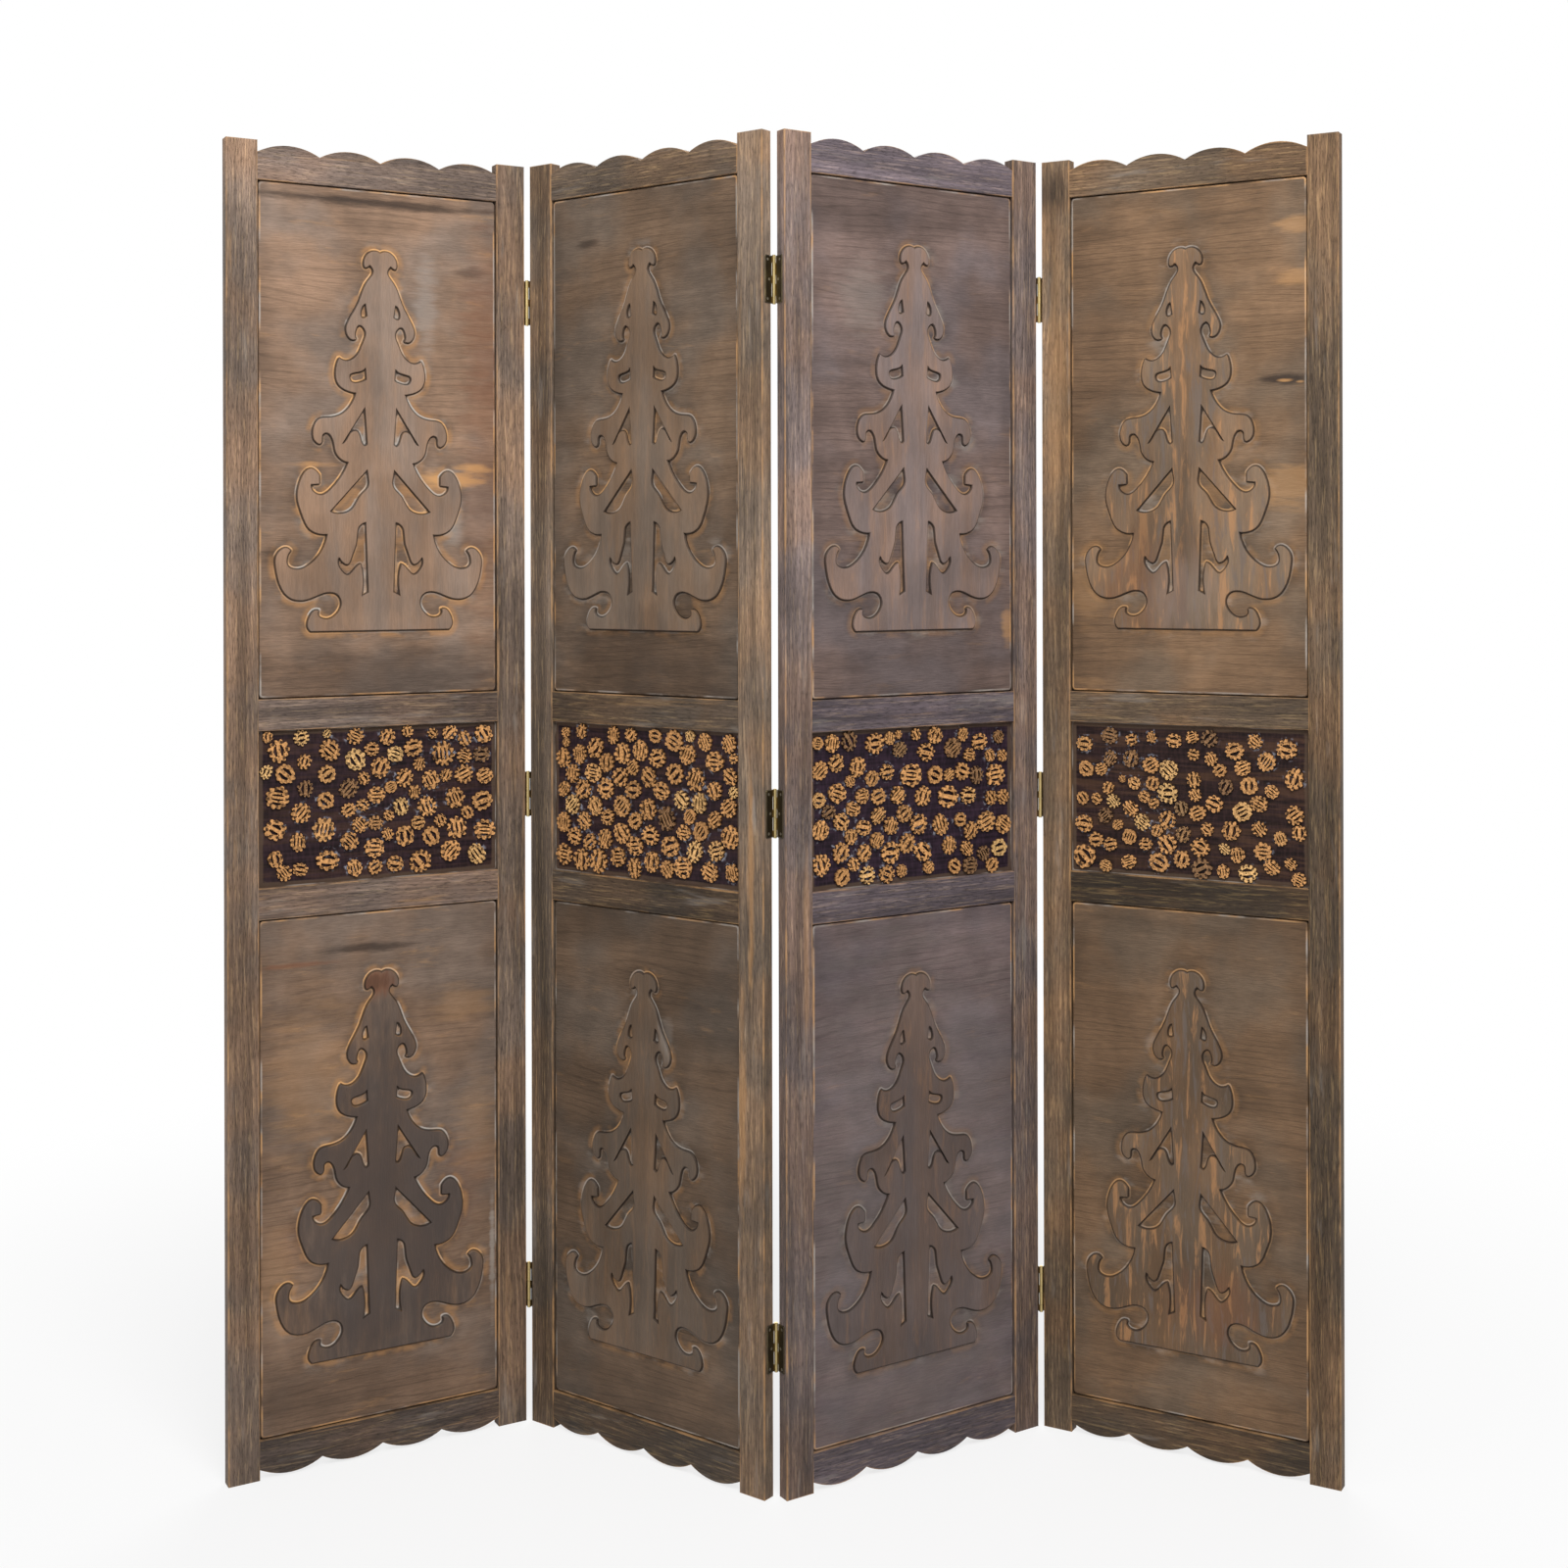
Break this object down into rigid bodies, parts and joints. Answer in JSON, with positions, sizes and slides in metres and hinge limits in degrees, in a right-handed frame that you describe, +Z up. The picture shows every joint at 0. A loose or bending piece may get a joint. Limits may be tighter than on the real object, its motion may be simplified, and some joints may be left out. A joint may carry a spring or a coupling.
{
  "type": "folding screen",
  "caption": "Free-standing folding screen of framed wooden leaves with raised panels, applied fir trees and a band of glued nut shell slices, hung on butt hinges.",
  "frame": {"origin": "middle of the screen's box on the floor, set up at its pictured angles", "axes": "+Z up along the stiles, -Y towards the viewer of the decorated faces, +X to that viewer's right"},
  "size_m": [1.4124, 0.254, 1.7],
  "materials": {
    "brown_stained_wood": "weathered warm brown stain, worn along the edges",
    "olive_stained_wood": "weathered dark olive brown stain, worn along the edges",
    "grey_stained_wood": "weathered grey brown stain, worn along the edges",
    "amber_stained_wood": "weathered amber brown stain, worn along the edges",
    "dark_board": "very dark brown stain with pale glue marks",
    "nut_shell": "sawn nut shell, golden with darker pores",
    "hinge_brass": "brushed brass with darkened plates",
    "screw_steel": "plated steel countersunk screws"
  },
  "bodies": {
    "leaf_1": {"leaf_1_stile_left": "brown_stained_wood", "leaf_1_stile_right": "brown_stained_wood", "leaf_1_top_rail": "brown_stained_wood", "leaf_1_upper_middle_rail": "brown_stained_wood", "leaf_1_lower_middle_rail": "brown_stained_wood", "leaf_1_bottom_rail": "brown_stained_wood", "leaf_1_upper_panel": "brown_stained_wood", "leaf_1_lower_panel": "brown_stained_wood", "leaf_1_slice_board": "dark_board", "leaf_1_nut_slices": "nut_shell", "leaf_1_fir_trees": "brown_stained_wood", "hinge_12_two_knuckle_plates": "hinge_brass", "hinge_12_screws_in_leaf_1": "screw_steel"},
    "leaf_2": {"leaf_2_stile_left": "olive_stained_wood", "leaf_2_stile_right": "olive_stained_wood", "leaf_2_top_rail": "olive_stained_wood", "leaf_2_upper_middle_rail": "olive_stained_wood", "leaf_2_lower_middle_rail": "olive_stained_wood", "leaf_2_bottom_rail": "olive_stained_wood", "leaf_2_upper_panel": "olive_stained_wood", "leaf_2_lower_panel": "olive_stained_wood", "leaf_2_slice_board": "dark_board", "leaf_2_nut_slices": "nut_shell", "leaf_2_fir_trees": "olive_stained_wood", "hinge_12_three_knuckle_plates": "hinge_brass", "hinge_12_screws_in_leaf_2": "screw_steel", "hinge_12_pins": "hinge_brass", "hinge_23_three_knuckle_plates": "hinge_brass", "hinge_23_screws_in_leaf_2": "screw_steel", "hinge_23_pins": "hinge_brass"},
    "leaf_3": {"leaf_3_stile_left": "grey_stained_wood", "leaf_3_stile_right": "grey_stained_wood", "leaf_3_top_rail": "grey_stained_wood", "leaf_3_upper_middle_rail": "grey_stained_wood", "leaf_3_lower_middle_rail": "grey_stained_wood", "leaf_3_bottom_rail": "grey_stained_wood", "leaf_3_upper_panel": "grey_stained_wood", "leaf_3_lower_panel": "grey_stained_wood", "leaf_3_slice_board": "dark_board", "leaf_3_nut_slices": "nut_shell", "leaf_3_fir_trees": "grey_stained_wood", "hinge_23_two_knuckle_plates": "hinge_brass", "hinge_23_screws_in_leaf_3": "screw_steel", "hinge_34_three_knuckle_plates": "hinge_brass", "hinge_34_screws_in_leaf_3": "screw_steel", "hinge_34_pins": "hinge_brass"},
    "leaf_4": {"leaf_4_stile_left": "amber_stained_wood", "leaf_4_stile_right": "amber_stained_wood", "leaf_4_top_rail": "amber_stained_wood", "leaf_4_upper_middle_rail": "amber_stained_wood", "leaf_4_lower_middle_rail": "amber_stained_wood", "leaf_4_bottom_rail": "amber_stained_wood", "leaf_4_upper_panel": "amber_stained_wood", "leaf_4_lower_panel": "amber_stained_wood", "leaf_4_slice_board": "dark_board", "leaf_4_nut_slices": "nut_shell", "leaf_4_fir_trees": "amber_stained_wood", "hinge_34_two_knuckle_plates": "hinge_brass", "hinge_34_screws_in_leaf_4": "screw_steel"}
  },
  "joints": [
    {"name": "fold_12", "type": "hinge", "parent": "leaf_2", "child": "leaf_1", "pos_m": [-0.34758, 0.11066, 0.85], "axis": [0, 0, 1], "range_deg": [-66.5, 113.5]},
    {"name": "fold_23", "type": "hinge", "parent": "leaf_2", "child": "leaf_3", "pos_m": [-0.00804, -0.11135, 0.85], "axis": [0, 0, 1], "range_deg": [-69.5, 110.5]},
    {"name": "fold_34", "type": "hinge", "parent": "leaf_3", "child": "leaf_4", "pos_m": [0.34443, 0.08952, 0.85], "axis": [0, 0, 1], "range_deg": [-118, 62]}
  ]
}
